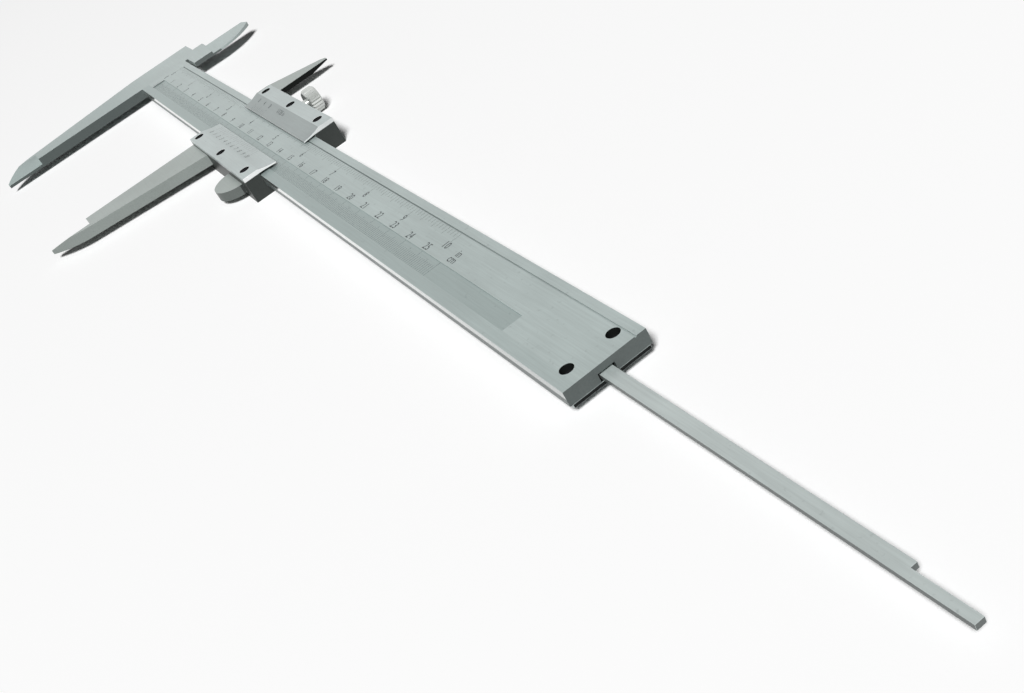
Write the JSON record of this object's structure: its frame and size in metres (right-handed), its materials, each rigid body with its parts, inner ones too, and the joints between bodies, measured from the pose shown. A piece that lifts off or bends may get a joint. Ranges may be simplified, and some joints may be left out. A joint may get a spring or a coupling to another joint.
{
  "type": "vernier caliper",
  "caption": "Sliding caliper with outside jaws, inside jaws, a depth rod, bevelled vernier plates on the slider and a knurled lock screw.",
  "frame": {"origin": "upper end of the fixed outside jaw's measuring face, at the beam's near guide edge and in the middle of the beam's thickness", "axes": "+X along the beam, out of the fixed measuring face; +Y across the beam, toward the inside jaws; +Z out of the scale face"},
  "size_m": [0.4465, 0.111, 0.0087],
  "materials": {
    "beam_steel": "satin",
    "slider_steel": "satin",
    "plate_steel": "satin",
    "rod_steel": "brushed",
    "lock_steel": "knurled",
    "black_screw": "blackened",
    "gib_bronze": "plain"
  },
  "bodies": {
    "beam": {"beam": "beam_steel", "end_stop_plate": "slider_steel", "end_stop_screws": "black_screw"},
    "slider": {"slider_frame": "slider_steel", "lower_vernier_plate": "plate_steel", "upper_vernier_plate": "plate_steel", "lower_plate_screws": "black_screw", "upper_plate_screws": "black_screw", "gib_strip": "gib_bronze", "gib_set_screws": "black_screw", "depth_rod": "rod_steel", "rod_rivets": "rod_steel"},
    "lock_screw": {"lock_screw": "lock_steel"}
  },
  "joints": [
    {"name": "slider_travel", "type": "slide", "parent": "beam", "child": "slider", "axis": [1, 0, 0], "range_m": [-0.093, 0.157]},
    {"name": "lock_turn", "type": "hinge", "parent": "slider", "child": "lock_screw", "pos_m": [0.118, 0.0282, -0.0002], "axis": [0, 1, 0], "range_deg": [-90, 270]}
  ]
}
